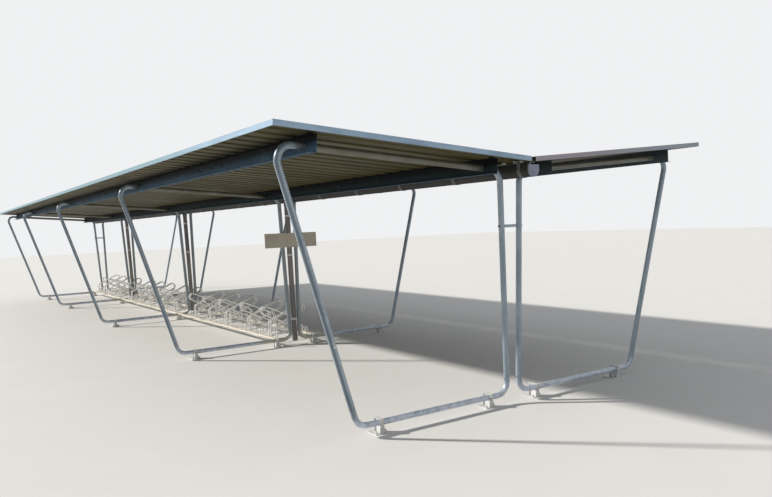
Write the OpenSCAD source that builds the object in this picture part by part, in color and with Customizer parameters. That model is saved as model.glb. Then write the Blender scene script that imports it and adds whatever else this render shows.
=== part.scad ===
// Double-sided bike shelter: two sheet roofs fall to a gutter along the middle.
// X runs across the shelter, Y along it and Z up. The origin lies on the ground,
// in the middle of the roof's outline.

/* [Layout] */
// Distance between frames in the three full bays
bay_len = 4300; // [3600:50:5000]
// Distance between the last two frames
last_bay_len = 3000; // [2800:50:4300]
// Roof beyond the axis of each end frame
roof_over = 286; // [230:1:500]
// Purlins beyond the axis of each end frame
purlin_over = 190; // [100:1:220]

/* [Frames] */
// Outer diameter of the frame tube
tube_d = 51; // [42:0.5:57]
// Bend radius of the frame tube, at its axis
tube_bend_r = 110; // [90:1:150]
// Height of the base run's axis
base_z = 90; // [75:1:150]
// Inner leg at the base run, from the centre line
inner_foot_x = 68; // [66:1:100]
// Inner leg at the rafter, from the centre line
inner_top_x = 110; // [90:1:120]
// Outer leg at the base run, from the centre line
outer_foot_x = 1594; // [1450:1:1900]
// Outer leg at the rafter, from the centre line
outer_top_x = 2145; // [2120:1:2200]
// Height of the rafter axis, continued to the centre line
rafter_h = 1982; // [1900:1:2600]
// Slope of the roof in degrees
roof_slope = 4.6; // [3:0.1:8]

/* [Feet] */
// Inner foot, from the centre line
foot_in_x = 276; // [230:1:400]
// Outer foot, from the centre line
foot_out_x = 1390; // [1100:1:1400]
// Length of a foot's base plate, along the shelter
foot_len = 140; // [120:1:260]
// Width of a foot's base plate
foot_w = 116; // [108:1:140]
// Thickness of a foot's base plate
foot_t = 6; // [4:0.5:10]
// Width of the strap over the tube
strap_w = 32; // [24:1:50]
// Thickness of the strap
strap_t = 5; // [3:0.5:8]
// Strap behind the tube's axis
strap_back = 70; // [60:1:125]
// Diameter of the anchor holes
anchor_d = 14; // [8:1:18]
// Anchor holes, to each side of the strap's middle
anchor_x = 42; // [40:1:44]
// Anchor holes in front of the tube's axis
anchor_front = 8; // [0:1:12]

/* [Purlins] */
// Depth of a purlin
purlin_h = 120; // [100:1:160]
// Width of a purlin's flanges
purlin_flange = 50; // [30:1:60]
// Steel thickness of a purlin
purlin_t = 3; // [2:0.5:5]
// Web of the inner purlins, from the centre line along the slope
purlin_in_u = 306; // [270:1:500]
// Web of the outer purlins, from the centre line along the slope
purlin_out_u = 1910; // [1700:1:1950]

/* [Roof] */
// Eave, from the centre line along the slope
eave_u = 2268; // [2230:1:2400]
// Inner end of the sheets, from the centre line
sheet_gap = 30; // [20:1:40]
// Height of the sheet's ribs
rib_h = 35; // [20:1:50]
// Distance between ribs that the sheets are made to
rib_pitch_made = 207; // [180:1:250]
// Ribs in one sheet
ribs_per_sheet = 5; // [3:1:6]
// Width of a rib's flat top
rib_top = 42; // [20:1:60]
// Width of a rib at its base
rib_base = 88; // [70:1:120]
// Thickness of the sheets
sheet_t = 1; // [0.7:0.1:2]
// Gap between neighbouring sheets
sheet_joint = 1; // [0.5:0.1:3]
// Thickness of the edge trims
trim_t = 1.5; // [1:0.1:3]
// Edge trims over the sheets
trim_top = 110; // [100:1:160]

/* [Gutter] */
// Width of the gutter
gutter_w = 112; // [90:1:150]
// Depth of the gutter
gutter_depth = 96; // [70:1:120]
// Gap between the gutter's rim and the sheets
gutter_drop = 25; // [10:1:40]
// Wall of the gutter
gutter_t = 2; // [1:0.1:4]
// Gutter straps in one full bay
straps_per_bay = 5; // [3:1:7]
// First gutter strap, before the axis of the front frame
strap_first = 169; // [100:1:200]
// Width of a gutter strap
gstrap_w = 40; // [20:1:60]
// Thickness of a gutter strap
gstrap_t = 3; // [2:0.5:6]
// Length of a gutter strap's ears
gstrap_ear = 70; // [40:1:120]

/* [Downpipes] */
// Outer diameter of the downpipes
pipe_d = 70; // [50:1:76]
// Wall of the downpipes
pipe_t = 3; // [2:0.5:5]
// Open lower end of the downpipes, above the ground
pipe_foot = 60; // [20:5:120]

/* [Ties and sign] */
// Height of the tie between the inner legs of the end frames
tie_z = 1522; // [800:1:1800]
// Height of the tie's plate
tie_h = 25; // [20:1:60]
// Thickness of the tie's plate
tie_t = 8; // [4:1:12]
// Length of the sign plate
sign_len = 756; // [400:4:900]
// Middle of the sign plate, to the right of the centre line
sign_x = 14; // [-40:1:40]
// Height of the sign plate
sign_h = 190; // [100:5:300]
// Lower edge of the sign plate
sign_z = 1336; // [900:1:1600]
// Thickness of the sign plate
sign_t = 3; // [2:0.5:6]

/* [Racks] */
// Distance between neighbouring wheel slots
place_pitch = 366; // [340:1:420]
// First slot behind the axis of a frame
place_first = 190; // [185:1:260]
// Gap between the two rack units of a full bay
rack_gap = 186; // [100:1:400]
// Diameter of the hoop bars
bar_d = 17; // [10:0.5:18]
// Diameter of the sleeve at a hoop's post
sleeve_d = 19; // [19:0.5:22]
// Hoops that lean left stand before their place and lower
left_before = 46; // [0:1:80]
left_lower = 32; // [0:1:36]
// Height of the low guards
guard_h = 214; // [200:1:240]
// Height where a low guard meets the post across from it
guard_low = 145; // [142:1:150]
// Clear width of a wheel slot
slot_w = 52; // [40:1:60]
// Outer end of a hoop, from the centre line
hoop_x = 252; // [252:1:300]
// Height where a hoop's upper arm meets its end
hoop_h = 576; // [540:1:620]
// Height between a hoop's two arms, at its end
hoop_open = 128; // [127:1:150]
// Height where a hoop's upper arm leaves its post
hoop_post = 332; // [326:1:400]
// Bend radius of the hoops
hoop_r = 55; // [40:1:55]
// Width of the rack rails
rail_w = 42; // [40:1:70]
// Height of the rack rails
rail_h = 20; // [16:1:40]
// Steel thickness of the rack rails
rail_t = 3; // [2:0.5:4]

/* [Hidden] */
$fn = 48;

// Clearance between pieces that seat on each other
fit = 0.3;
// A bend is a trace thicker than the straights, which run a little way into it
bend_step = 0.1;
bend_lap = 1;

// Along the shelter
roof_len = 3 * bay_len + last_bay_len + 2 * roof_over;
front_y = -roof_len / 2;
function frame_y(i) = front_y + roof_over + min(i - 1, 3) * bay_len + (i == 5 ? last_bay_len : 0);
purlin_len = roof_len - 2 * roof_over + 2 * purlin_over;

// Heights of the roof, measured square to the slope from the rafter axis
pan_w = purlin_h / 2;
function rafter_z(x) = rafter_h + x * tan(roof_slope);

// Sheets
sheet_count = round(roof_len / (ribs_per_sheet * rib_pitch_made));
sheet_w = roof_len / sheet_count;
rib_pitch = sheet_w / ribs_per_sheet;
rib_lean = atan2(rib_h - sheet_t, (rib_base - rib_top) / 2);
rib_in = sheet_t * tan(rib_lean / 2);

// Gutter
gutter_r = gutter_w / 2;
gutter_rim_z = rafter_h + pan_w / cos(roof_slope) - gutter_drop;
gutter_mid_z = gutter_rim_z - gutter_depth + gutter_r;

// Feet
seat_r = tube_d / 2 + fit;
strap_z = base_z + seat_r;
foot_rear = 40;
foot_flare = 12;

// Racks
places_a = 4;
places_b = 6;
places_last = 7;
rail_x = foot_in_x;
guard_r = 40;
rail_top = strap_z + strap_t + fit + rail_t;
rack_b_from = place_first + places_a * place_pitch + rack_gap;

// One wing's own axes: x up the slope, z square to it, side 1 is right and -1 left
module wing(side) {
    translate([0, 0, rafter_h])
        mirror([side < 0 ? 1 : 0, 0, 0])
            rotate([0, -roof_slope, 0]) children();
}

// Round bar bent through points of a plane, its first and last point are its ends
function dir_of(a, b) = atan2(b[1] - a[1], b[0] - a[0]);
function turn_at(a, b, c) = let (t = dir_of(b, c) - dir_of(a, b)) t > 180 ? t - 360 : t < -180 ? t + 360 : t;
function cut_at(p, i, r, closed) = let (n = len(p))
    !closed && (i == 0 || i == n - 1) ? 0 : r * tan(abs(turn_at(p[(i + n - 1) % n], p[i], p[(i + 1) % n])) / 2);

module bent_bar(p, r, d, closed = false) {
    n = len(p);
    for (i = [0 : closed ? n - 1 : n - 2]) {
        q = p[(i + 1) % n];
        from = cut_at(p, i, r, closed);
        to = cut_at(p, (i + 1) % n, r, closed);
        head = from > 0 ? bend_lap : 0;
        tail = to > 0 ? bend_lap : 0;
        translate([p[i][0], p[i][1], 0])
            rotate([0, 0, dir_of(p[i], q)])
                translate([from - head, 0, 0])
                    rotate([0, 90, 0])
                        cylinder(d = d - 2 * bend_step, h = norm(q - p[i]) - from - to + head + tail);
    }
    for (i = [closed ? 0 : 1 : 1 : closed ? n - 1 : n - 2])
        bend(p[(i + n - 1) % n], p[i], p[(i + 1) % n], r, d);
}

module bend(a, b, c, r, d) {
    t = turn_at(a, b, c);
    side = t > 0 ? 1 : -1;
    cut = r * tan(abs(t) / 2);
    in_dir = dir_of(a, b);
    centre = b - cut * [cos(in_dir), sin(in_dir)] + side * r * [-sin(in_dir), cos(in_dir)];
    start = t > 0 ? in_dir - 90 : dir_of(b, c) + 90;
    translate([centre[0], centre[1], 0])
        rotate([0, 0, start])
            rotate_extrude(angle = abs(t)) translate([r, 0]) circle(d = d);
}

// Frames: one tube bent into a closed loop, seen from the front, right side
function frame_points() = [
    [inner_foot_x, base_z],
    [outer_foot_x, base_z],
    [outer_top_x, rafter_z(outer_top_x)],
    [inner_top_x, rafter_z(inner_top_x)]
];

module frame(side, i) {
    color("lightsteelblue")
        translate([0, frame_y(i), 0])
            mirror([side < 0 ? 1 : 0, 0, 0])
                rotate([90, 0, 0]) bent_bar(frame_points(), tube_bend_r, tube_d, true);
}

// Feet: a strap over the tube on a base plate, with a web under the strap
module foot() {
    front = -seat_r - strap_t;
    back = strap_back;
    difference() {
        union() {
            translate([-foot_w / 2, back - foot_len + foot_rear, 0]) cube([foot_w, foot_len, foot_t]);
            foot_strap(front, back);
            translate([-strap_t / 2, front, foot_t]) cube([strap_t, back - front, strap_z - foot_t]);
        }
        translate([-foot_w, 0, base_z]) rotate([0, 90, 0]) cylinder(r = seat_r, h = 2 * foot_w);
        for (x = [-anchor_x, anchor_x])
            translate([x, -anchor_front, -1]) cylinder(d = anchor_d, h = foot_t + 2);
    }
}

module foot_strap(front, back) {
    translate([-strap_w / 2, front, strap_z]) cube([strap_w, back - front, strap_t]);
    translate([-strap_w / 2, back - strap_t, foot_t]) cube([strap_w, strap_t, strap_z - foot_t]);
    translate([0, front + strap_t, 0])
        rotate([90, 0, 0])
            linear_extrude(strap_t)
                polygon([
                    [-strap_w / 2 - foot_flare, foot_t], [strap_w / 2 + foot_flare, foot_t],
                    [strap_w / 2, base_z - seat_r], [strap_w / 2, strap_z],
                    [-strap_w / 2, strap_z], [-strap_w / 2, base_z - seat_r]
                ]);
}

module feet(i) {
    color("gainsboro")
        for (x = [-foot_out_x, -foot_in_x, foot_in_x, foot_out_x])
            translate([x, frame_y(i), 0]) foot();
}

// Purlins: channels that open towards the eave, the rafters pass through their webs
module purlin(side, u) {
    color("slategray")
        wing(side)
            difference() {
                translate([u, purlin_len / 2, -purlin_h / 2])
                    rotate([90, 0, 0]) linear_extrude(purlin_len) channel_outline();
                for (i = [1 : 5])
                    translate([u - 1, frame_y(i), 0])
                        rotate([0, 90, 0]) cylinder(r = seat_r, h = purlin_t + 2);
            }
}

module channel_outline() {
    difference() {
        square([purlin_flange, purlin_h]);
        translate([purlin_t, purlin_t]) square([purlin_flange, purlin_h - 2 * purlin_t]);
    }
}

// Roof sheets: ribs run down the slope
function rib_upper(c) = [
    [c - rib_base / 2, sheet_t], [c - rib_top / 2, rib_h],
    [c + rib_top / 2, rib_h], [c + rib_base / 2, sheet_t]
];
function rib_lower(c) = [
    [c + rib_base / 2 - rib_in, 0], [c + rib_top / 2 - rib_in, rib_h - sheet_t],
    [c - rib_top / 2 + rib_in, rib_h - sheet_t], [c - rib_base / 2 + rib_in, 0]
];
function rib_centre(k) = (k + 0.5) * rib_pitch;

module sheet_outline() {
    edge = sheet_joint / 2;
    polygon(concat(
        [[edge, sheet_t]],
        [for (k = [0 : ribs_per_sheet - 1]) each rib_upper(rib_centre(k))],
        [[sheet_w - edge, sheet_t], [sheet_w - edge, 0]],
        [for (k = [ribs_per_sheet - 1 : -1 : 0]) each rib_lower(rib_centre(k))],
        [[edge, 0]]
    ));
}

module roof(side, quarter) {
    first = round(sheet_count * (quarter - 1) / 4);
    last = round(sheet_count * quarter / 4) - 1;
    color("silver")
        wing(side)
            for (s = [first : last])
                translate([sheet_gap, front_y + s * sheet_w, pan_w + fit])
                    rotate([0, 0, 90])
                        rotate([90, 0, 0])
                            linear_extrude(eave_u - sheet_gap - fit) sheet_outline();
}

// Edge trims: angles over the sheets
module angle_outline(drop, top) {
    difference() {
        square([top, drop]);
        translate([trim_t, -1]) square([top, drop - trim_t + 1]);
    }
}

module eave(side) {
    drop = rib_h + fit + trim_t;
    color("aliceblue")
        wing(side)
            translate([eave_u + trim_t, roof_len / 2 + trim_t, pan_w + fit])
                rotate([90, 0, 0])
                    linear_extrude(roof_len + 2 * trim_t)
                        mirror([1, 0, 0]) angle_outline(drop, trim_top);
}

module verge(end) {
    drop = rib_h + fit + trim_t;
    color("aliceblue")
        for (side = [-1, 1])
            wing(side)
                mirror([0, end > 0 ? 1 : 0, 0])
                    translate([sheet_gap, front_y - trim_t, pan_w + fit])
                        rotate([90, 0, 90]) {
                            linear_extrude(eave_u - sheet_gap - trim_top) angle_outline(drop, trim_top);
                            linear_extrude(eave_u - sheet_gap - fit) square([trim_t, rib_h]);
                        }
}

// Gutter: a deep half-round channel with closed ends
module gutter_outline(r, rim) {
    intersection() {
        circle(r = r);
        translate([-r, -r]) square([2 * r, r]);
    }
    translate([-r, 0]) square([2 * r, rim]);
}

module gutter() {
    rim = gutter_depth - gutter_r;
    color("slategray")
        translate([0, roof_len / 2, gutter_mid_z])
            rotate([90, 0, 0])
                difference() {
                    linear_extrude(roof_len) gutter_outline(gutter_r, rim);
                    translate([0, 0, gutter_t])
                        linear_extrude(roof_len - 2 * gutter_t) gutter_outline(gutter_r - gutter_t, rim + 1);
                    for (i = [2 : 4])
                        translate([0, 0, roof_len / 2 - frame_y(i)])
                            rotate([90, 0, 0]) cylinder(d = pipe_d - 2 * pipe_t, h = gutter_r + 1);
                }
}

module gutter_strap() {
    r = gutter_r + fit;
    ear_z = rafter_h + pan_w / cos(roof_slope) - gutter_mid_z;
    rotate([90, 0, 0])
        translate([0, 0, -gstrap_w / 2])
            linear_extrude(gstrap_w) {
                difference() {
                    gutter_outline(r + gstrap_t, ear_z + r * tan(roof_slope) - fit);
                    gutter_outline(r, 2 * gutter_depth);
                }
                for (m = [0, 1])
                    mirror([m, 0])
                        translate([0, ear_z])
                            rotate(roof_slope)
                                translate([r, -gstrap_t]) square([gstrap_ear, gstrap_t]);
            }
}

module gutter_straps() {
    pitch = bay_len / straps_per_bay;
    count = floor((frame_y(5) + strap_first - frame_y(1) + strap_first) / pitch);
    color("gainsboro")
        for (k = [0 : count])
            translate([0, frame_y(1) - strap_first + k * pitch, gutter_mid_z])
                gutter_strap();
}

// Downpipes between the inner legs
module downpipe(i) {
    color("dimgray")
        translate([0, frame_y(i), 0])
            difference() {
                translate([0, 0, pipe_foot]) cylinder(d = pipe_d, h = gutter_mid_z - pipe_foot);
                translate([0, 0, pipe_foot - 1]) cylinder(d = pipe_d - 2 * pipe_t, h = gutter_mid_z);
                translate([0, pipe_d, gutter_mid_z])
                    rotate([90, 0, 0]) cylinder(r = gutter_r + fit, h = 2 * pipe_d);
            }
}

// Ties between the inner legs of the end frames
function leg_x(z) = inner_foot_x + (inner_top_x - inner_foot_x) * (z - base_z) / (rafter_z(inner_top_x) - base_z);

module leg_ties() {
    color("gainsboro")
        for (i = [1, 5])
            translate([0, frame_y(i), 0])
                difference() {
                    translate([-leg_x(tie_z), -tie_t / 2, tie_z]) cube([2 * leg_x(tie_z), tie_t, tie_h]);
                    for (m = [0, 1])
                        mirror([m, 0, 0])
                            translate([inner_foot_x, 0, base_z])
                                rotate([0, atan2(inner_top_x - inner_foot_x, rafter_z(inner_top_x) - base_z), 0])
                                    cylinder(r = seat_r, h = rafter_h);
                }
}

// Bare sign plate across the front of the second frame's downpipe
module sign_plate() {
    color("lightgray")
        translate([sign_x - sign_len / 2, frame_y(2) - pipe_d / 2 - fit - sign_t, sign_z])
            cube([sign_len, sign_t, sign_h]);
}

// Racks: two rails over the inner feet carry hoops that lean to one side and the other in turn,
// each with a low guard under its high end
module rack_rails() {
    from = frame_y(2) + seat_r + fit;
    run = frame_y(5) + strap_back - from;
    notch = 2 * (seat_r + strap_t + fit);
    color("gainsboro")
        for (m = [-1, 1])
            translate([m * rail_x - rail_w / 2, from, rail_top - rail_h])
                difference() {
                    cube([rail_w, run, rail_h]);
                    translate([rail_t, -1, -1]) cube([rail_w - 2 * rail_t, run + 2, rail_h - rail_t + 1]);
                    for (i = [3 : 5])
                        translate([-1, frame_y(i) - from - notch / 2, -1])
                            cube([rail_w + 2, notch, rail_h - rail_t + 1]);
                }
}

module hoop_bar(drop) {
    foot_z = rail_top + fit;
    bent_bar([
        [-rail_x, foot_z], [-rail_x, hoop_post - drop], [hoop_x, hoop_h - drop],
        [hoop_x, hoop_h - hoop_open - drop], [-rail_x, hoop_post - hoop_open - drop]
    ], hoop_r, bar_d);
    bent_bar([[rail_x, foot_z], [rail_x, guard_h], [-rail_x, guard_low]], guard_r, bar_d);
    translate([-rail_x, foot_z, 0])
        rotate([-90, 0, 0]) cylinder(d = sleeve_d, h = hoop_post - hoop_open + sleeve_d - foot_z);
}

module hoop_pair(side) {
    for (y = [-1, 1])
        translate([0, y * (slot_w + bar_d) / 2, 0])
            mirror([side < 0 ? 1 : 0, 0, 0])
                rotate([90, 0, 0]) hoop_bar(side < 0 ? left_lower : 0);
}

module rack(frame, from, places) {
    color("gainsboro")
        for (k = [0 : places - 1]) {
            side = k % 2 == 0 ? 1 : -1;
            before = side < 0 ? left_before : 0;
            translate([0, frame_y(frame) + from + k * place_pitch - before, 0]) hoop_pair(side);
        }
}

for (i = [1 : 5]) {
    frame(-1, i);
    frame(1, i);
    feet(i);
}
for (q = [1 : 4]) {
    roof(-1, q);
    roof(1, q);
}
purlin(-1, purlin_out_u);  // purlin_outer_left
purlin(-1, purlin_in_u);  // purlin_inner_left
purlin(1, purlin_in_u);  // purlin_inner_right
purlin(1, purlin_out_u);  // purlin_outer_right
verge(-1);  // verge_front
verge(1);  // verge_rear
eave(-1);  // eave_left
eave(1);  // eave_right
gutter();
gutter_straps();
downpipe(2);  // downpipe_2
downpipe(3);  // downpipe_3
downpipe(4);  // downpipe_4
leg_ties();
sign_plate();
rack_rails();
rack(2, place_first, places_a);  // rack_1
rack(2, rack_b_from, places_b);  // rack_2
rack(3, place_first, places_a);  // rack_3
rack(3, rack_b_from, places_b);  // rack_4
rack(4, place_first, places_last);  // rack_5
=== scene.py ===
# %% [markdown]
# # A double-sided bike shelter
#
# The steelwork comes from the CAD model as fixed pieces: bent tube frames, purlins,
# folded roof sheets, a gutter and hoop racks. This lesson gives each piece its finish
# and adds what is too small for the CAD model: bolts, screws, weld beads, clamps and
# seams. Everything is in metres, in the CAD model's own frame: X across the shelter,
# Y along it and Z up, with the origin on the ground in the middle of the roof.

import math

import bpy
import numpy as np
from mathutils import Matrix, Vector


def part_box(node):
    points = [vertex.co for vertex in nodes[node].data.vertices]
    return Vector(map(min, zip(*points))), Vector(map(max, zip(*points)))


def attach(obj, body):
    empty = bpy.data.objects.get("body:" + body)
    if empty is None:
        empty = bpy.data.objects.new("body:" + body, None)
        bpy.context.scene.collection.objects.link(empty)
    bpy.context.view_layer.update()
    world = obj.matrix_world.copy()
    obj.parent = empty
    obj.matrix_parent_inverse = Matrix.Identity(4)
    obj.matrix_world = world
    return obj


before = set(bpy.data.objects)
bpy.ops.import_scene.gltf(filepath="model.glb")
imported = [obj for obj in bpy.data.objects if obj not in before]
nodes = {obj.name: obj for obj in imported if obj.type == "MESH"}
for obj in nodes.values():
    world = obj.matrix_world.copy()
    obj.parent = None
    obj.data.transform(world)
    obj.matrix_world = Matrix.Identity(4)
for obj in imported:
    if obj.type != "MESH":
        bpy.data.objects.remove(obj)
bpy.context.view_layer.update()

# %% [markdown]
# ## Sizes that the pieces share
#
# The places of the frames, the tube's radius and the roof's edge are read from the CAD
# pieces, so that a screw or a weld lands on what carries it. Only sizes that can't be
# read from a box are written here, as the real sizes in metres.

# %% Read the layout from the CAD pieces
def span(node, axis):
    """Lowest and highest value of a node along an axis, 0 for X, 1 for Y and 2 for Z."""
    low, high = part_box(node)
    return float(low[axis]), float(high[axis])


FRAME_COUNT = 5
frame_y = np.array([sum(span(f"frame_right_{i}", 1)) / 2 for i in range(1, FRAME_COUNT + 1)])
tube_r = (span("frame_right_1", 1)[1] - span("frame_right_1", 1)[0]) / 2
roof_front, roof_rear = span("eave_right", 1)
print("frames at Y", np.round(frame_y, 3), "tube radius", round(tube_r, 4))

# %% [markdown]
# The slope starts at the height where the rafters' axes would meet over the middle. A
# purlin is centred on the rafter that passes through it, and the sheet lies on the
# purlin. Every added piece keeps a small gap from the face that it sits on, so that no
# two faces share one plane.

# %% Sizes that no box gives
ROOF_SLOPE = math.radians(4.6)
RAFTER_HEIGHT = 1.982
PURLIN_HALF = 0.060
RIB_HEIGHT = 0.035
BASE_HEIGHT = 0.090
SEAT = 0.0003
print("slope", round(math.degrees(ROOF_SLOPE), 2), "degrees from a height of", RAFTER_HEIGHT)

# %% [markdown]
# ## Camera
#
# The camera stands a little in front of the shelter and to its left, at eye height. Its
# lens, place and turn are real values: a 33 mm lens on a 36 mm wide sensor, turned to
# the right of the shelter's long axis, tipped a little down and leaning slightly. The
# lens is shifted because the photograph is a cut from a larger picture.

# %% Place the camera
CAMERA_PLACE = Vector((-4.175, -12.368, 1.585))
CAMERA_TURN = math.radians(34.545)
CAMERA_TIP = math.radians(-8.698)
CAMERA_LEAN = math.radians(-2.280)
LENS_LENGTH = 32.72
SENSOR_WIDTH = 36
LENS_SHIFT = (-0.0235, 0.1073)
SEEN_AS_FAR_AS = 200


def camera_axes(turn, tip, lean):
    """Right, up and forward of a camera: forward is +Y turned about Z, tipped and then leant."""
    level = Vector((math.cos(turn), -math.sin(turn), 0))
    ahead = Vector((math.sin(turn) * math.cos(tip), math.cos(turn) * math.cos(tip), math.sin(tip)))
    upright = level.cross(ahead)
    right = level * math.cos(lean) + upright * math.sin(lean)
    return right, right.cross(ahead), ahead


right, up, ahead = camera_axes(CAMERA_TURN, CAMERA_TIP, CAMERA_LEAN)
camera_turn = Matrix((right, up, -ahead)).transposed().to_4x4()
lens = bpy.data.cameras.new("camera")
lens.lens = LENS_LENGTH
lens.sensor_width = SENSOR_WIDTH
lens.shift_x, lens.shift_y = LENS_SHIFT
lens.clip_end = SEEN_AS_FAR_AS
camera = bpy.data.objects.new("camera", lens)
camera.matrix_world = Matrix.Translation(CAMERA_PLACE) @ camera_turn
bpy.context.scene.collection.objects.link(camera)
bpy.context.scene.camera = camera
print("camera looks along", [round(c, 3) for c in ahead])

# %% [markdown]
# ## Shader trees as sums
#
# A finish is a small tree of nodes. To keep its maths readable, a socket is wrapped in
# a class whose + - * add Math nodes, so a mask is written as an expression. Colours go
# through Mix nodes instead, because a Math node would turn them grey.

# %% Wrap a socket
class Value:
    """One output socket. An expression on it adds Math nodes to its finish's tree."""

    def __init__(self, finish, socket):
        self.finish = finish
        self.socket = socket

    def maths(self, operation, *terms):
        """One Math node, with the terms on its sockets in order."""
        return self.finish.node("ShaderNodeMath", {"operation": operation}, dict(enumerate(terms)))

    def __add__(self, other):
        return self.maths("ADD", self, other)

    def __sub__(self, other):
        return self.maths("SUBTRACT", self, other)

    def __rsub__(self, other):
        return self.maths("SUBTRACT", other, self)

    def __mul__(self, other):
        return self.maths("MULTIPLY", self, other)

    __radd__ = __add__
    __rmul__ = __mul__

    def size(self):
        """The value without its sign."""
        return self.maths("ABSOLUTE", self)

    def clamped(self):
        """The value held between 0 and 1."""
        return self.finish.node("ShaderNodeClamp", {}, {"Value": self})

    def between(self, low, high):
        """0 below low, 1 above high and a smooth step between them."""
        limits = {"Value": self, "From Min": low, "From Max": high}
        return self.finish.node("ShaderNodeMapRange", {"interpolation_type": "SMOOTHSTEP"}, limits)


print("a value has + - * and", [name for name in vars(Value) if not name.startswith("_")])

# %% Wrap a material
class Finish:
    """A material with one Principled shader, and the ways to add nodes to its tree."""

    def __init__(self, name, **constants):
        self.material = bpy.data.materials.new(name)
        self.material.use_nodes = True
        self.tree = self.material.node_tree
        self.tree.nodes.clear()
        self.shader = self.tree.nodes.new("ShaderNodeBsdfPrincipled")
        output = self.tree.nodes.new("ShaderNodeOutputMaterial")
        self.tree.links.new(self.shader.outputs["BSDF"], output.inputs["Surface"])
        self.put(**constants)
        self.places = self.node("ShaderNodeTexCoord", {}, {}, "Object")

    def node(self, kind, settings, inputs, output=0):
        """Adds one node: its settings first, then the values or links of its sockets."""
        node = self.tree.nodes.new(kind)
        for setting, value in settings.items():
            setattr(node, setting, value)
        for socket, value in inputs.items():
            self.feed(node.inputs[socket], value)
        return Value(self, node.outputs[output])

    def feed(self, socket, value):
        """Links a wrapped socket, or sets a plain value."""
        if isinstance(value, Value):
            self.tree.links.new(value.socket, socket)
        else:
            socket.default_value = value

    def put(self, **links):
        """Feeds the shader's own sockets, with _ for a space in a socket's name."""
        for socket, value in links.items():
            self.feed(self.shader.inputs[socket.replace("_", " ")], value)
        return self.material

    def part(self, axis):
        """Object coordinate X, Y or Z in metres."""
        return self.node("ShaderNodeSeparateXYZ", {}, {"Vector": self.places}, axis)

    def normal(self):
        """The surface's own direction, in object coordinates."""
        return self.node("ShaderNodeTexCoord", {}, {}, "Normal")

    def stretched(self, x, y, z):
        """Object coordinates, each multiplied by its own number."""
        return self.node("ShaderNodeVectorMath", {"operation": "MULTIPLY"},
                         {0: self.places, 1: (x, y, z)})

    def noise(self, scale, detail=3, roughness=0.55, at=None, distortion=0):
        """Fractal noise from 0 to 1, with scale in patches per metre."""
        inputs = {"Vector": at or self.places, "Scale": scale, "Detail": detail}
        inputs.update({"Roughness": roughness, "Distortion": distortion})
        return self.node("ShaderNodeTexNoise", {}, inputs, "Fac")

    def cells(self, scale):
        """Cells with one random number each, such as the crystals in a zinc coat."""
        inputs = {"Vector": self.places, "Scale": scale}
        colour = self.node("ShaderNodeTexVoronoi", {}, inputs, "Color")
        return self.node("ShaderNodeSeparateColor", {}, {"Color": colour}, "Red")

    def mix(self, factor, first, second):
        """Colour mix: first where factor is 0 and second where it is 1."""
        return self.node("ShaderNodeMix", {"data_type": "RGBA"}, {0: factor, 6: first, 7: second}, 2)

    def bump(self, height, strength, distance):
        """A relief of a height map, as a normal."""
        inputs = {"Height": height, "Strength": strength, "Distance": distance}
        return self.node("ShaderNodeBump", {}, inputs)


print("a finish has", [name for name in vars(Finish) if not name.startswith("_")])

# %% Turn a colour into light
def shade(red, green, blue):
    """An sRGB colour, 0 to 255, as the linear colour that a shader reads."""
    srgb = np.array([red, green, blue]) / 255
    linear = np.where(srgb <= 0.04045, srgb / 12.92, ((srgb + 0.055) / 1.055) ** 2.4)
    return (*map(float, linear), 1.0)


print("shade 128 is", round(shade(128, 128, 128)[0], 3), "in linear light")

# %% [markdown]
# ## Galvanised steel
#
# Hot-dip galvanised steel starts bright and spangled, and weathers to a dull blue-grey
# with paler blooms of zinc carbonate. Three layers make it: crystals about a centimetre
# wide, soft blooms as long as a hand, and runs that follow the way water takes down the
# piece. The metal is dull, so it is a rough metal mixed with a mineral skin, which keeps
# the Metallic value in between. A picture of zinc would need to be unrolled round every
# bend, while noise in metres runs through all the pieces without a seam.

# %% Mix a zinc finish
def zinc(name, pale, grey, dark, crystal=90, bloom=7, run=(1, 1, 1), metal=0.25, rough=0.5,
         shine=0.5, toned=None):
    """Zinc in three tones, with so many crystals and blooms a metre.

    run stretches the blooms where it is below 1. toned is a function that changes the
    colour by place: it takes the finish and its colour, and gives the new colour.
    """
    finish = Finish(name, Specular_IOR_Level=shine)
    tone = finish.cells(crystal)
    blooms = finish.noise(bloom, 4, 0.6, at=finish.stretched(*run), distortion=0.4)
    fine = finish.noise(bloom * 14, 4, 0.7)
    streaks = finish.noise(26, 3, 0.6, at=finish.stretched(1, 1, 0.05))
    body = finish.mix(blooms.between(0.38, 0.66), grey, pale)
    body = finish.mix(((tone - 0.5) * 0.30 + (fine - 0.5) * 0.5 + 0.22).clamped(), body, dark)
    body = finish.mix(streaks.between(0.58, 0.78) * 0.35, body, dark)
    if toned:
        body = toned(finish, body)
    metallic = (0.9 - blooms.between(0.35, 0.7) * 0.5) * metal
    roughness = (blooms * 0.16 + tone * 0.10 + (rough - 0.12)).clamped()
    relief = finish.bump(fine * 0.6 + tone * 0.4, 0.12, 0.0006)
    finish.put(Base_Color=body, Metallic=metallic, Roughness=roughness, Normal=relief)
    print("mixed", name)
    return finish.material


# %% [markdown]
# The same zinc differs from place to place. Near the ground the fittings get a little
# dirt, and the tubes a painted highlight of the low sun and the sunlit ground, which is
# warmer on the inner legs. The inner legs also get a painted reflection of the ground and
# its shade. Painted shade with some dust darkens the rafters under the roof. Bright tubes
# mirror dark surroundings on the side that faces the front left, which a plain pale world
# doesn't give, so that side gets a darker tone instead. The purlins get painted shade too,
# up their webs and towards the middle of the roof, as the photograph shows them.

# %% Tones of the frames and the fittings
DIRT_AND_HIGHLIGHT_TOP = 0.42
DIRT = shade(128, 112, 92)
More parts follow.
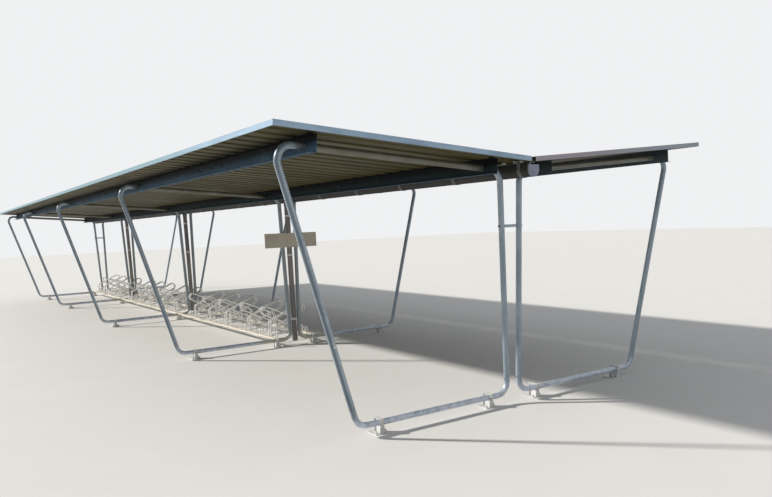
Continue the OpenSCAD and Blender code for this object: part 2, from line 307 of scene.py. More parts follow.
# Painted light on the tubes near the ground: a pale highlight of the low sun, and a warm reflection of the
# sunlit ground on the inner legs.
PALE_LOW_HIGHLIGHT = shade(226, 232, 246)
WARM_GROUND_REFLECTION = shade(222, 212, 198)
INNER_LEG_REFLECTION = shade(132, 131, 126)
MIRRORED_TONE = shade(66, 80, 92)
RAFTER_SHADE_AND_DUST = shade(98, 93, 72)
FRONT_LEFT = (-0.74, -0.67, 0.0)


def dirt_and_low_highlight(finish, body, cover, tone):
    """A tone in patches near the ground, as much as cover says: dirt on the fittings, a painted highlight
    on the tubes.
    """
    low = 1 - finish.part("Z").between(0.02, DIRT_AND_HIGHLIGHT_TOP)
    patches = (low * (finish.noise(18, 4, 0.7) + 0.15)).between(0.28, 0.75)
    return finish.mix(patches * cover, body, tone)


def fitting_tones(finish, body):
    """A little dirt near the ground."""
    return dirt_and_low_highlight(finish, body, 0.10, DIRT)


def frame_tones(finish, body):
    """Painted reflections on the inner legs and the front left side, a painted highlight near the ground
    and painted shade with dust on the rafters.
    """
    across = finish.part("X").size()
    inner_reflection = (1 - across.between(0.4, 0.6)) * finish.part("Y").between(-7.0, -5.0)
    # Painted reflection: the inner legs behind the front frame take a warm grey that stands for the ground
    # and its shade mirrored in them.
    body = finish.mix(inner_reflection * 0.45, body, INNER_LEG_REFLECTION)
    facing = finish.node("ShaderNodeVectorMath", {"operation": "DOT_PRODUCT"},
                         {0: finish.normal(), 1: FRONT_LEFT}, "Value")
    outside = 1 - finish.part("X").between(-0.9, -0.3) * 0.65
    body = finish.mix(facing.between(0.66, 0.98) * outside * 0.75, body, MIRRORED_TONE)
    # Painted highlight: near the ground the tubes turn pale where the low sun and the sunlit ground light
    # them, warmer on the inner legs.
    body = dirt_and_low_highlight(finish, body, 0.75, finish.mix(inner_reflection, PALE_LOW_HIGHLIGHT, WARM_GROUND_REFLECTION))
    # Painted shade under the roof, with some dust, darkens the rafters.
    rafter = across.between(0.12, 0.25) * (1 - across.between(1.85, 2.05))
    rafter = rafter * finish.part("Z").between(1.93, 2.00)
    shade_and_dust = rafter * (finish.noise(5, 4, 0.6) * 0.6 + 0.7)
    return finish.mix((shade_and_dust * 0.85).clamped(), body, RAFTER_SHADE_AND_DUST)


print("frames darken towards", FRONT_LEFT)

# %% Tones of the purlins
PURLIN_DARK = shade(42, 66, 84)
RIGHT_WING_TONE = shade(62, 64, 58)
MIDDLE_SHADE = shade(34, 42, 34)
PURLIN_TOP_SHADE = shade(10, 14, 15)


def purlin_tones(finish, body):
    """Greyer on the right wing, painted shade near the middle and up the web, a plain lip below.

    A point's height over the rafter's axis is Z less the axis's height at its X.
    """
    across = finish.part("X")
    right = across.between(0.0, 0.1)
    weaker = 1 - right * 0.6
    body = finish.mix(right * 0.8, body, RIGHT_WING_TONE)
    # Painted shade: the purlins darken towards the middle of the roof.
    middle_shade_mask = (1 - across.size().between(0.5, 1.2)) * weaker
    body = finish.mix(middle_shade_mask * 0.8, body, MIDDLE_SHADE)
    over = finish.part("Z") - RAFTER_HEIGHT - across.size() * math.tan(ROOF_SLOPE)
    # Painted shade: the web darkens upwards into the shade under the sheet.
    top = over.between(-0.9 * PURLIN_HALF, 0.7 * PURLIN_HALF) * weaker
    body = finish.mix(top, body, PURLIN_TOP_SHADE)
    lip = 1 - over.between(-0.96 * PURLIN_HALF, -0.86 * PURLIN_HALF)
    return finish.mix(lip * 0.8, body, PURLIN_DARK)


print("purlins darken over", round(1.6 * PURLIN_HALF, 3), "m of height")

# %% Mix the zinc finishes
tube_zinc = zinc("frame_tube_zinc", shade(178, 193, 204), shade(151, 167, 179),
                 shade(104, 119, 131), run=(1, 1, 0.35), metal=0.3, rough=0.34, toned=frame_tones)
fitting_zinc = zinc("fitting_zinc", shade(240, 240, 238), shade(220, 221, 220),
                    shade(172, 173, 170), bloom=16, metal=0.10, rough=0.5, toned=fitting_tones)
screw_zinc = zinc("screw_zinc", shade(196, 198, 198), shade(166, 168, 168),
                  shade(120, 122, 122), bloom=30, metal=0.35, rough=0.42)
purlin_zinc = zinc("purlin_zinc", shade(98, 132, 156), shade(74, 106, 128), PURLIN_DARK,
                   crystal=55, bloom=4, run=(1, 0.4, 1), metal=0.15, rough=0.6, shine=0.15,
                   toned=purlin_tones)
strap_zinc = zinc("strap_zinc", shade(112, 114, 110), shade(86, 88, 84), shade(58, 60, 56),
                  bloom=14, metal=0.25, rough=0.55)
rack_zinc = zinc("rack_zinc", shade(254, 254, 252), shade(244, 243, 240),
                 shade(196, 194, 188), bloom=11, metal=0.06, rough=0.32)
rail_zinc = zinc("rail_zinc", shade(248, 242, 226), shade(232, 224, 205),
                 shade(180, 170, 150), bloom=9, metal=0.05, rough=0.5, toned=fitting_tones)

# %% [markdown]
# ## Coated sheet
#
# The roof sheets are coated on both faces: a pale grey top that the rain marks along the
# slope, and a plain olive-beige back coat underneath, whose dark olive tone is partly
# painted shade and painted warm light from the ground. Two materials would need the faces
# to be sorted, so the surface's own normal tells the two coats apart instead. Green film
# creeps in on the top near the gutter, and painted shade darkens the underside in the
# corner outside the outer purlin.

# %% Coat the roof sheets
def roof_coat():
    """A stained and specked coat, with one colour above and another below."""
    finish = Finish("roof_coat", Specular_IOR_Level=0.25)
    facing_up = finish.node("ShaderNodeSeparateXYZ", {}, {"Vector": finish.normal()}, "Z")
    stains = finish.noise(3.2, 5, 0.6, at=finish.stretched(0.22, 1, 1), distortion=0.3)
    specks = finish.noise(46, 3, 0.7)
    across = finish.part("X").size()
    near_gutter = 1 - across.between(0.15, 0.7)
    top = finish.mix(stains.between(0.35, 0.75), shade(186, 190, 190), shade(152, 154, 148))
    top = finish.mix((near_gutter * stains).between(0.2, 0.6) * 0.5, top, shade(104, 110, 88))
    top = finish.mix(specks.between(0.62, 0.8) * 0.35, top, shade(96, 96, 84))
    # The underside's dark olive is partly painted shade and painted warm light from the ground, over the
    # back coat.
    under_coat_and_shade = finish.mix(stains.between(0.35, 0.7), shade(77, 71, 40), shade(61, 56, 29))
    under_coat_and_shade = finish.mix(specks.between(0.6, 0.85) * 0.3, under_coat_and_shade, shade(42, 39, 24))
    # Painted shade in the corner under the sheet, outside the outer purlin.
    corner = across.between(1.87, 1.92) * (1 - across.between(1.92, 2.15))
    under_coat_and_shade = finish.mix(corner * 0.6, under_coat_and_shade, shade(20, 21, 17))
    return finish.put(Base_Color=finish.mix(facing_up.between(-0.05, 0.05), under_coat_and_shade, top),
                      Roughness=(stains * 0.2 + 0.38).clamped(),
                      Normal=finish.bump(specks, 0.08, 0.0004))


sheet_coat = roof_coat()
print("mixed", sheet_coat.name)

# %% [markdown]
# The other coated pieces are one plain colour in two close tones, with fine specks of
# dirt. The trims look bluer on the left wing than on the right one, and painted shade
# makes the left eave's trim darker a few metres behind the front.

# %% A plain coat
DIRT_SPECKS = shade(70, 66, 58)


def painted(name, light, dark, rough, patch=5.0, stretch=(1, 1, 1), dirt=0.3, right=(), far_shade=()):
    """Coated steel: a light and a darker tone in soft patches, with fine specks of dirt.

    right holds two tones that take over on the right wing, one near the gutter and one at
    the eave. far_shade holds a tone of painted shade that takes over a few metres behind the front.
    """
    finish = Finish(name)
    patches = finish.noise(patch, 4, 0.6, at=finish.stretched(*stretch), distortion=0.3)
    specks = finish.noise(70, 3, 0.7)
    body = finish.mix(patches.between(0.35, 0.7), light, dark)
    # Painted shade: the trim darkens a few metres behind the front.
    if far_shade:
        body = finish.mix(finish.part("Y").between(-8.4, -5.0), body, far_shade)
    if right:
        across = finish.part("X")
        wing = finish.mix(across.between(0.3, 2.0), *right)
        body = finish.mix(across.between(0.0, 0.02) * (1 - patches * 0.3), body, wing)
    body = finish.mix(specks.between(0.6, 0.8) * dirt, body, DIRT_SPECKS)
    finish.put(Base_Color=body, Roughness=(patches * 0.2 + rough - 0.1).clamped(),
               Normal=finish.bump(specks + patches, 0.06, 0.0004))
    print("painted", name)
    return finish.material


# %% Paint the other coated pieces
TRIM_TONES = (shade(160, 186, 208), shade(134, 160, 184))
trim_coat = painted("trim_coat", *TRIM_TONES, 0.4, stretch=(1, 0.5, 4), dirt=0.18,
                    right=(shade(158, 146, 152), shade(146, 154, 162)))
# The left eave's trim takes painted shade a few metres behind the front.
eave_coat = painted("eave_coat", *TRIM_TONES, 0.5, stretch=(1, 0.5, 4), dirt=0.18,
                    far_shade=shade(116, 148, 160))
gutter_coat = painted("gutter_coat", shade(33, 32, 29), shade(22, 21, 18), 0.6,
                      stretch=(1, 0.3, 1), dirt=0.1)
pipe_coat = painted("pipe_coat", shade(136, 131, 129), shade(108, 105, 104), 0.45,
                    stretch=(1, 1, 0.2))
plate_coat = painted("plate_coat", shade(204, 197, 178), shade(184, 176, 158), 0.42,
                     stretch=(1, 1, 0.5))
cap_coat = painted("cap_coat", shade(138, 143, 164), shade(114, 119, 140), 0.45, patch=18)
plug_plastic = painted("plug_plastic", shade(222, 222, 218), shade(200, 200, 196), 0.5, patch=60)
# Painted shade: a near-black coat for the dark inside of a hole.
hole_shade = painted("hole_shade", shade(26, 26, 26), shade(16, 16, 16), 0.8)

# %% [markdown]
# ## Dress the CAD pieces
#
# A piece takes the finish of the first name start that fits it, so the gutter's straps
# stand before the gutter in the list, and the rails before the racks.

# %% Put the finishes on the CAD pieces
FINISH_OF = {
    "frame_": tube_zinc, "leg_ties": tube_zinc, "feet_": fitting_zinc, "purlin_": purlin_zinc,
    "roof_": sheet_coat, "verge_": trim_coat, "eave_left": eave_coat, "eave_right": trim_coat,
    "gutter_straps": strap_zinc, "gutter": gutter_coat, "downpipe_": pipe_coat,
    "sign_plate": plate_coat, "rack_rails": rail_zinc, "rack_": rack_zinc,
}


def dress(node, material):
    """Gives every material slot of a CAD piece the same finish."""
    for slot in node.material_slots:
        slot.material = material


for name, node in nodes.items():
    dress(node, next(finish for start, finish in FINISH_OF.items() if name.startswith(start)))
print("dressed", len(nodes), "CAD pieces")

# %% [markdown]
# ## Small parts as arrays of points
#
# What follows is too small for the CAD model: nuts, screws, weld beads, clamps. Each one
# is a surface with a formula, such as a profile turned about an axis or a ring carried
# along a path. numpy works out all of its points at once, and a row of like parts is one
# shape laid down at many places, so a hundred screws cost one array operation.

# %% Turn a profile
def grid_faces(rows, columns, close_rows=False):
    """Four-sided faces of a grid whose columns run in a circle.

    The point in row i and column j has the number i * columns + j, and the last column
    joins the first. With close_rows, the last row joins the first one too.
    """
    last = rows if close_rows else rows - 1
    i, j = np.meshgrid(np.arange(last), np.arange(columns), indexing="ij")
    over, beside = (i + 1) % rows, (j + 1) % columns
    corners = [i * columns + j, i * columns + beside, over * columns + beside, over * columns + j]
    return np.stack(corners, -1).reshape(-1, 4)


def turned(profile, around, closed=False):
    """A profile of (radius, height) points turned about Z.

    Point (i, a) is (radius_i cos a, radius_i sin a, height_i). An open profile is closed by
    a flat face at its first and last ring, and a closed one makes a ring such as a washer.
    """
    radius, height = np.array(profile, float).T
    angle = np.arange(around) * math.tau / around
    circle = np.stack([np.cos(angle), np.sin(angle)], -1)
    flat = radius[:, None, None] * circle[None]
    heights = np.broadcast_to(height[:, None, None], (len(radius), around, 1))
    faces = [grid_faces(len(radius), around, closed)]
    if not closed:
        first = np.arange(around)
        faces.append(np.stack([first[::-1], (len(radius) - 1) * around + first]))
    return np.concatenate([flat, heights], -1).reshape(-1, 3), faces


def tube_wall(inner, outer, low, high, around):
    """A tube's wall between two radii, from the height low to high, with square edges."""
    return turned([(inner, low), (outer, low), (outer, high), (inner, high)], around, closed=True)


print("a ring of 40 points around has", len(tube_wall(1, 2, 0, 1, 40)[0]), "points")

# %% Carry a ring along a path
def carried(path, ring, side):
    """A flat ring of (across, up) points carried along a path.

    At each path point, across is the part of the vector side that is square to the path,
    and up is the path's direction crossed with it. Both ends are closed by flat faces.
    """
    path, ring = np.array(path, float), np.array(ring, float)
    ahead = np.gradient(path, axis=0)
    ahead /= np.linalg.norm(ahead, axis=1, keepdims=True)
    across = side - ahead * (ahead @ np.array(side, float))[:, None]
    across /= np.linalg.norm(across, axis=1, keepdims=True)
    up = np.cross(ahead, across)
    points = path[:, None] + ring[None, :, :1] * across[:, None] + ring[None, :, 1:] * up[:, None]
    first = np.arange(len(ring))
    ends = np.stack([first[::-1], (len(path) - 1) * len(ring) + first])
    return points.reshape(-1, 3), [grid_faces(len(path), len(ring)), ends]


def circle_ring(radius, count):
    """A circle of (across, up) points."""
    angle = np.arange(count) * math.tau / count
    return np.stack([radius * np.cos(angle), radius * np.sin(angle)], -1)


straight_bar = carried([(0, 0, 0), (0, 0, 1)], circle_ring(1, 8), (1, 0, 0))
print("a straight bar with 8 sides has", len(straight_bar[0]), "points")

# %% Weld beads and blocks
def weld_bead(radius, thick, ripples, around=60, section=6):
    """A rippled ring about Z, the seam left by welding round a tube.

    The bead's own radius waves as thick (1 + 0.14 cos(ripples a)) along the angle a.
    """
    a = np.arange(around)[:, None] * math.tau / around
    b = np.arange(section)[None] * math.tau / section
    bead = thick * (1 + 0.14 * np.cos(ripples * a))
    out = radius + bead * np.cos(b)
    points = np.stack([out * np.cos(a), out * np.sin(a), bead * np.sin(b) + 0 * a], -1)
    return points.reshape(-1, 3), [grid_faces(around, section, True)[:, ::-1]]


def block(low, high):
    """A box between two corners."""
    x, y, z = np.array([low, high], float).T
    flat = [(x[0], y[0]), (x[1], y[0]), (x[1], y[1]), (x[0], y[1])]
    points = np.array([(px, py, pz) for pz in z for px, py in flat])
    return points, [grid_faces(2, 4), np.array([[3, 2, 1, 0], [4, 5, 6, 7]])]


print("a weld bead has", len(weld_bead(1, 0.1, 30)[0]), "points")

# %% Lay shapes down
def laid(shape, places, turns=np.eye(3)):
    """One shape at many places: each point p goes to R p + place, for every turn R and place."""
    points, faces = shape
    places = np.array(places, float).reshape(-1, 3)
    turns = np.broadcast_to(turns, (len(places), 3, 3))
    moved = np.einsum("kij,nj->kni", turns, points) + places[:, None]
    step = (np.arange(len(places)) * len(points))[:, None, None]
    return moved.reshape(-1, 3), [(group[None] + step).reshape(-1, group.shape[1]) for group in faces]


def raised(shape, height):
    """The same shape, higher by a height."""
    return shape[0] + (0, 0, height), shape[1]


def joined(*shapes):
    """Several shapes as one."""
    starts = np.cumsum([0] + [len(points) for points, _ in shapes[:-1]])
    faces = [group + start for (_, groups), start in zip(shapes, starts) for group in groups]
    return np.concatenate([points for points, _ in shapes]), faces


def grid_of(x, y, z):
    """Every pair of x and y at one height, as an array of places."""
    x, y = np.meshgrid(x, y, indexing="ij")
    return np.stack([x.ravel(), y.ravel(), np.full(x.size, z)], -1)


def axes(first, second, third):
    """The turn that takes X, Y and Z to three given directions, as the columns of a matrix."""
    return np.array([first, second, third], float).T


FACING_FRONT = axes((1, 0, 0), (0, 0, 1), (0, -1, 0))
FACING_RIGHT = axes((0, 1, 0), (0, 0, 1), (1, 0, 0))
FACING_LEFT = axes((0, -1, 0), (0, 0, 1), (-1, 0, 0))
SIDES = (-1, 1)
print("the left wing is side", SIDES[0], "and the right one side", SIDES[1])

# %% Make a shape a piece
SHARP_FROM = math.radians(35)


def piece(name, shape, material):
    """Makes a mesh object from points and faces. It rides with the shelter."""
    points, groups = shape
    mesh = bpy.data.meshes.new(name)
    mesh.from_pydata(points.tolist(), [], [face for group in groups for face in group.tolist()])
    mesh.materials.append(material)
    mesh.shade_smooth()
    mesh.set_sharp_from_angle(angle=SHARP_FROM)
    made = bpy.data.objects.new(name, mesh)
    bpy.context.scene.collection.objects.link(made)
    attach(made, "root")
    print(f"{name}: {len(points)} points")


print("edges sharper than", round(math.degrees(SHARP_FROM)), "degrees stay sharp")

# %% [markdown]
# ## Fasteners
#
# A hexagon nut or head is a six-sided prism whose corners are cut back by a cone. It could
# be a cylinder with a Bevel modifier, but turned with six points around, a profile gives
# the prism and its bevels at once. The washer below it is a profile turned with more
# points, and so is the threaded end above a nut.

# %% Shapes of the fasteners
def hexagon(across_flats, height):
    """A hexagon head or nut with bevelled corners, standing on Z = 0."""
    corner = across_flats / math.sqrt(3)
    cut = 0.12 * height
    profile = [(corner * 0.96, 0), (corner, cut), (corner, height - cut), (corner * 0.88, height)]
    return turned(profile, 6)


def washer(outer, hole, thick):
    """A flat ring with bevelled outer edges, standing on Z = 0."""
    lip = thick * 0.25
    profile = [(hole, 0), (outer - lip, 0), (outer, lip)]
    profile += [(outer, thick - lip), (outer - lip, thick), (hole, thick)]
    return turned(profile, 24, closed=True)


def stud(radius, height):
    """A threaded end: a rod whose radius rises and falls with each turn of its thread."""
    turns = 5
    rise = np.linspace(0, height, 2 * turns + 1)
    radii = np.where(np.arange(len(rise)) % 2, radius * 0.9, radius)
    return turned(list(zip(radii, rise)) + [(radius * 0.7, height + radius * 0.2)], 16)


def fastener(ring, head, end=None):
    """A washer, a hexagon on it and a threaded end on that where there is one.

    ring is (outer radius, hole radius, thickness), head is (width across its flats, height)
    and end is (radius, height).
    """
    parts = [washer(*ring), raised(hexagon(*head), ring[2])]
    if end:
        parts.append(raised(stud(*end), ring[2] + head[1]))
    return joined(*parts)


print("a washer has", len(washer(0.012, 0.0065, 0.0025)[0]), "points")

# %% The shelter's own fasteners
anchor_nut = fastener((0.012, 0.0065, 0.0025), (0.019, 0.010), (0.006, 0.009))
flange_bolt = fastener((0.010, 0.004, 0.002), (0.015, 0.007))
splice_nut = fastener((0.010, 0.004, 0.002), (0.015, 0.008), (0.004, 0.008))
small_bolt = fastener((0.007, 0.003, 0.0015), (0.010, 0.005))
seal = turned([(0.0095, 0), (0.009, 0.0018), (0.005, 0.003)], 12)
roof_screw = joined(seal, raised(hexagon(0.008, 0.004), 0.003))
rivet = turned([(0.005, 0), (0.0046, 0.0012), (0.003, 0.0022), (0.001, 0.0025)], 10)
print("nut of", len(anchor_nut[0]), "points, roof screw of", len(roof_screw[0]))

# %% [markdown]
# ## Fixings at the feet
#
# Each foot is a strap over the tube on a base plate. Two anchors hold the plate, one at
# each side of the strap, and a bolt through the strap's front keeps the tube from
# turning. The nuts and the threaded ends are real sizes: anchors of 12 mm take a nut
# 19 mm across its flats.

# %% Nuts and bolts of the feet
FOOT_OUT = 1.390
FOOT_IN = 0.276
PLATE_THICK = 0.006
ANCHOR_SIDE = 0.042
ANCHOR_FRONT = 0.008
STRAP_THICK = 0.005
STRAP_BOLT_HEIGHT = 0.078
foot_x = np.array([-FOOT_OUT, -FOOT_IN, FOOT_IN, FOOT_OUT])
anchor_x = np.concatenate([foot_x - ANCHOR_SIDE, foot_x + ANCHOR_SIDE])
anchors = grid_of(anchor_x, frame_y - ANCHOR_FRONT, PLATE_THICK + SEAT)
strap_face = tube_r + 2 * SEAT + STRAP_THICK
straps = grid_of(foot_x, frame_y - strap_face, STRAP_BOLT_HEIGHT)
piece("anchor_nuts", laid(anchor_nut, anchors), fitting_zinc)
piece("strap_bolts", laid(flange_bolt, straps, FACING_FRONT), fitting_zinc)

# %% [markdown]
# ## Racks
#
# The hoops' bars are welded to two rails, and each weld leaves a small bead round the
# bar's foot. A plain torus could stand for it, but ripples catch the light as the steps of
# a real weld do. The bars come in pairs, one pair a wheel slot. A low guide stands on
# each rail between every two slots. A taller one stands before a rack's first slot on the
# left rail, and one behind its last slot on the right rail. A dome-headed bolt holds each
# rail to the foot below it.

# %% Weld the hoops to their rails
PLACE_PITCH = 0.366
PLACE_FIRST = 0.190
RACK_GAP = 0.186
LEFT_BEFORE = 0.046
BAR_SIDE = 0.0345
RAIL_X = FOOT_IN
SECOND_RACK = PLACE_FIRST + 4 * PLACE_PITCH + RACK_GAP
RACKS = [(1, PLACE_FIRST, 4), (1, SECOND_RACK, 6), (2, PLACE_FIRST, 4), (2, SECOND_RACK, 6),
         (3, PLACE_FIRST, 7)]
rail_top = span("rack_rails", 2)[1]


def wheel_places():
    """Y of every wheel slot, and 1 where its hoop leans right or -1 where it leans left.

    RACKS holds, for each rack, the number of the frame in front of it, counted from 0, its
    first slot's distance behind that frame and how many slots it has. Slots that lean left
    stand a little nearer to the front.
    """
    y = [frame_y[f] + first + np.arange(count) * PLACE_PITCH for f, first, count in RACKS]
    leans_left = np.concatenate([np.arange(count) % 2 for _, _, count in RACKS])
    return np.concatenate(y) - leans_left * LEFT_BEFORE, 1 - 2 * leans_left


place_y, place_side = wheel_places()
bar_y = np.concatenate([place_y - BAR_SIDE, place_y + BAR_SIDE])
bar_side = np.tile(place_side, 2)
height = np.full(len(bar_y), rail_top)
posts = np.stack([-RAIL_X * bar_side, bar_y, height], -1)
guards = np.stack([RAIL_X * bar_side, bar_y, height], -1)
post_weld = weld_bead(radius=0.0103, thick=0.0024, ripples=7, around=16, section=5)
guard_weld = weld_bead(radius=0.0090, thick=0.0022, ripples=6, around=16, section=5)
piece("rack_welds", joined(laid(post_weld, posts), laid(guard_weld, guards)), rail_zinc)

# %% Add the low guides between the slots and the taller ones at a rack's ends
GUIDE_BAR = 0.0075
GUIDE_TOP = 0.215
END_TOP = 0.318
END_BEFORE = 0.188


def upright_loop(top):
    """A bar up from the rail to a height, over in a half circle and down again."""
    straight = top - rail_top - BAR_SIDE
    turn = np.linspace(0, math.pi, 9)
    bend = np.stack([0 * turn, -BAR_SIDE * np.cos(turn), straight + BAR_SIDE * np.sin(turn)], -1)
    path = np.concatenate([[(0, -BAR_SIDE, 0)], bend, [(0, BAR_SIDE, 0)]])
    return carried(path, circle_ring(GUIDE_BAR, 8), (1, 0, 0))


slot_counts = [count for _, _, count in RACKS]
rack_slots = np.split(place_y, np.cumsum(slot_counts)[:-1])
guide_y = np.concatenate([(slots[1:] + slots[:-1]) / 2 for slots in rack_slots])
first_y = np.array([slots[0] - END_BEFORE for slots in rack_slots])
last_y = np.array([slots[-1] + END_BEFORE for slots in rack_slots])
guides = laid(upright_loop(GUIDE_TOP), grid_of([-RAIL_X, RAIL_X], guide_y, rail_top))
left_ends = laid(upright_loop(END_TOP), grid_of([-RAIL_X], first_y, rail_top))
right_ends = laid(upright_loop(END_TOP), grid_of([RAIL_X], last_y, rail_top))
piece("rack_guides", joined(guides, left_ends, right_ends), rack_zinc)

# %% Bolt the rails down
RAIL_BOLT_BEHIND = 0.056
DOME_WASHER = 0.0016
dome_profile = [(0.0085, 0), (0.0085, 0.001), (0.0075, 0.0035), (0.0045, 0.0055), (0.001, 0.0062)]
dome_bolt = joined(washer(0.011, 0.004, DOME_WASHER), raised(turned(dome_profile, 20), DOME_WASHER))
rail_bolts = grid_of([-RAIL_X, RAIL_X], frame_y[1:] + RAIL_BOLT_BEHIND, rail_top + SEAT)
piece("rail_bolts", laid(dome_bolt, rail_bolts), fitting_zinc)

# %% [markdown]
# ## Welds, plugs and holes in the frames
#
# Each rafter passes through the webs of two purlins and is welded round on both faces.
# The purlins lie on the slope, so their places are worked out in the wing's own
# directions: u runs up the slope, w stands square to it. The outer legs carry a pale
# plug, and the inner legs a small vent hole, which hot-dip galvanising needs.

# %% Weld the rafters into the purlins
PURLIN_IN = 0.306
PURLIN_OUT = 1.910
PURLIN_THICK = 0.003
WEBS = (PURLIN_IN, PURLIN_OUT)
WELD_OFF = 0.001
sine, cosine = math.sin(ROOF_SLOPE), math.cos(ROOF_SLOPE)


def wing_place(side, u, y, w):
    """World place of a point u up the slope, at y, and w square to it from the rafter's axis."""
    x = side * (u * cosine - w * sine)
    z = RAFTER_HEIGHT + u * sine + w * cosine
    return np.stack(np.broadcast_arrays(x, y, z), -1)


def wing_up(side):
    """Turns a shape that stands on Z so that it stands on the roof of one wing."""
    return axes((cosine, 0, side * sine), (0, 1, 0), (-side * sine, 0, cosine))


def wing_along(side):
    """Turns a shape that stands on Z so that it points up the slope of one wing."""
    return axes((0, side, 0), (-side * sine, 0, cosine), (side * cosine, 0, sine))


def reversed_axis(turn):
    """The same turn for a shape that first lies on its head, half round about X."""
    return turn @ np.diag([1.0, -1.0, -1.0])


rafter_bead = weld_bead(radius=tube_r + 0.0015, thick=0.0035, ripples=34)
rafter_welds = [laid(rafter_bead, wing_place(side, face, frame_y, 0), wing_along(side))
                for side in SIDES for web in WEBS
                for face in (web - WELD_OFF, web + PURLIN_THICK + WELD_OFF)]
piece("rafter_welds", joined(*rafter_welds), tube_zinc)

# %% Close the tube loops, plug the outer legs and vent the inner ones
INNER_LEG = ((0.068, 0.090), (0.110, 1.9908))
OUTER_LEG = ((1.594, 0.090), (2.145, 2.1546))
SEAM_X = 0.905
PLUG_HEIGHT = 0.725
VENT_HEIGHT = 0.220


def leg_x(leg, z):
    """X of a leg's axis at height z, on the straight line between its two corners."""
    (x0, z0), (x1, z1) = leg
    return x0 + (x1 - x0) * (z - z0) / (z1 - z0)


seam = weld_bead(radius=tube_r + 0.0004, thick=0.0016, ripples=30)
loop_seams = laid(seam, grid_of([-SEAM_X, SEAM_X], frame_y, BASE_HEIGHT), FACING_RIGHT)
piece("loop_seams", loop_seams, tube_zinc)

plug_x = leg_x(OUTER_LEG, PLUG_HEIGHT)
plug_places = grid_of([-plug_x, plug_x], frame_y - tube_r, PLUG_HEIGHT)
plug = turned([(0.0095, -0.002), (0.0095, 0.001), (0.008, 0.0022), (0.004, 0.003), (0.001, 0.0032)], 20)
piece("leg_plugs", laid(plug, plug_places, FACING_FRONT), plug_plastic)

# The vent is a low disc in painted shade, standing for the dark inside of the hole.
vent = turned([(0.0058, -0.001), (0.0058, 0.0006), (0.0046, 0.0007), (0.0042, 0.0002)], 18)
vent_x = np.array([-1, 1]) * leg_x(INNER_LEG, VENT_HEIGHT)
on_left = grid_of(vent_x - tube_r, frame_y, VENT_HEIGHT)
on_right = grid_of(vent_x + tube_r, frame_y, VENT_HEIGHT)
vents = joined(laid(vent, on_left, FACING_LEFT), laid(vent, on_right, FACING_RIGHT))
piece("leg_vents", vents, hole_shade)

# %% [markdown]
# ## Purlin and roof fixings
#
# Purlins come in lengths that are bolted together near the middle of a bay. Every rib of
# the roof sheet but the first and the last is held to both purlins by a screw with a
# sealing washer on the rib's crest, which keeps the hole out of the water's way. The edge
# trims are riveted, and their lower edges are folded back in a hem.

# %% Bolt the purlin lengths together
SPLICE_Y = np.array([1.54, 1.79, 2.10, 2.32])
splice_y = np.concatenate([frame_y[0] + SPLICE_Y, frame_y[2] + SPLICE_Y])
splices = []
for side in SIDES:
    along = wing_along(side)
    for web in WEBS:
        heads = wing_place(side, web - SEAT, splice_y, 0)
        nuts = wing_place(side, web + PURLIN_THICK + SEAT, splice_y, 0)
        splices += [laid(flange_bolt, heads, reversed_axis(along)), laid(splice_nut, nuts, along)]
piece("splice_bolts", joined(*splices), strap_zinc)

# %% Hem the trims
TRIM_THICK = 0.0015
EAVE = 2.268
HEM = 0.0012
HEM_IN = 0.0014
HEM_FROM = 0.030
HEM_SHORT = 0.001
front_edge, rear_edge = roof_front + TRIM_THICK, roof_rear - TRIM_THICK
hem_w = PURLIN_HALF + SEAT - HEM
hems = []
for side in SIDES:
    eave_ends = wing_place(side, EAVE, [front_edge, rear_edge], hem_w)
    hems.append(carried(eave_ends, circle_ring(HEM, 8), (1, 0, 0)))
    for hem_y in (roof_front + HEM_IN, roof_rear - HEM_IN):
        verge_ends = wing_place(side, np.array([HEM_FROM, EAVE - HEM_SHORT]), hem_y, hem_w)
        hems.append(carried(verge_ends, circle_ring(HEM, 8), (0, 1, 0)))
piece("trim_hems", joined(*hems), trim_coat)

# %% Screw down the sheets and rivet the trims
RIBS = 80
SCREW_PAST_WEB = 0.025
EAVE_RIVETS = 2.185
VERGE_RIVETS = np.linspace(0.18, 2.06, 6)
rib_y = front_edge + (np.arange(RIBS) + 0.5) * (rear_edge - front_edge) / RIBS
crest = PURLIN_HALF + SEAT + RIB_HEIGHT
on_trim = crest + TRIM_THICK + SEAT
screws, rivets = [], []
for side in SIDES:
    places = [wing_place(side, web + SCREW_PAST_WEB, rib_y[1:-1], crest) for web in WEBS]
    screws.append(laid(roof_screw, np.concatenate(places), wing_up(side)))
    places = [wing_place(side, EAVE_RIVETS, rib_y[::2], on_trim)]
    places += [wing_place(side, VERGE_RIVETS, edge_y, on_trim) for edge_y in (rib_y[0], rib_y[-1])]
    rivets.append(laid(rivet, np.concatenate(places), wing_up(side)))
piece("roof_screws", joined(*screws), screw_zinc)
piece("trim_rivets", joined(*rivets), trim_coat)

# %% [markdown]
# ## Gutter, straps and downpipes
#
# The gutter is closed by caps with a turned rim, stiffened by a bead along each upper
# edge and joined by sleeves between its straps. Each strap ends in two ears, held up to
# the sheets by two screws each. The bead is a circle carried along the edge, and the
# sleeve and the cap's rim are the gutter's own outline carried a short way.

# %% Carry the gutter's outline
GUTTER_R = 0.056
GUTTER_DEPTH = 0.096
gutter_low = span("gutter", 2)[0]
gutter_rim = gutter_low + GUTTER_DEPTH
gutter_mid = gutter_low + GUTTER_R


def gutter_line(radius):
    """The gutter's outline from rim to rim: straight down, a half circle and straight up."""
    angle = np.linspace(math.pi, math.tau, 21)
    curve = np.stack([radius * np.cos(angle), radius * np.sin(angle)], -1)
    rim = gutter_rim - gutter_mid
    return np.concatenate([[(-radius, rim)], curve, [(radius, rim)]])


def along_gutter(ring, y0, y1):
    """A ring about the gutter's middle line, carried from y0 to y1."""
    return carried([(0, y1, gutter_mid), (0, y0, gutter_mid)], ring, (1, 0, 0))


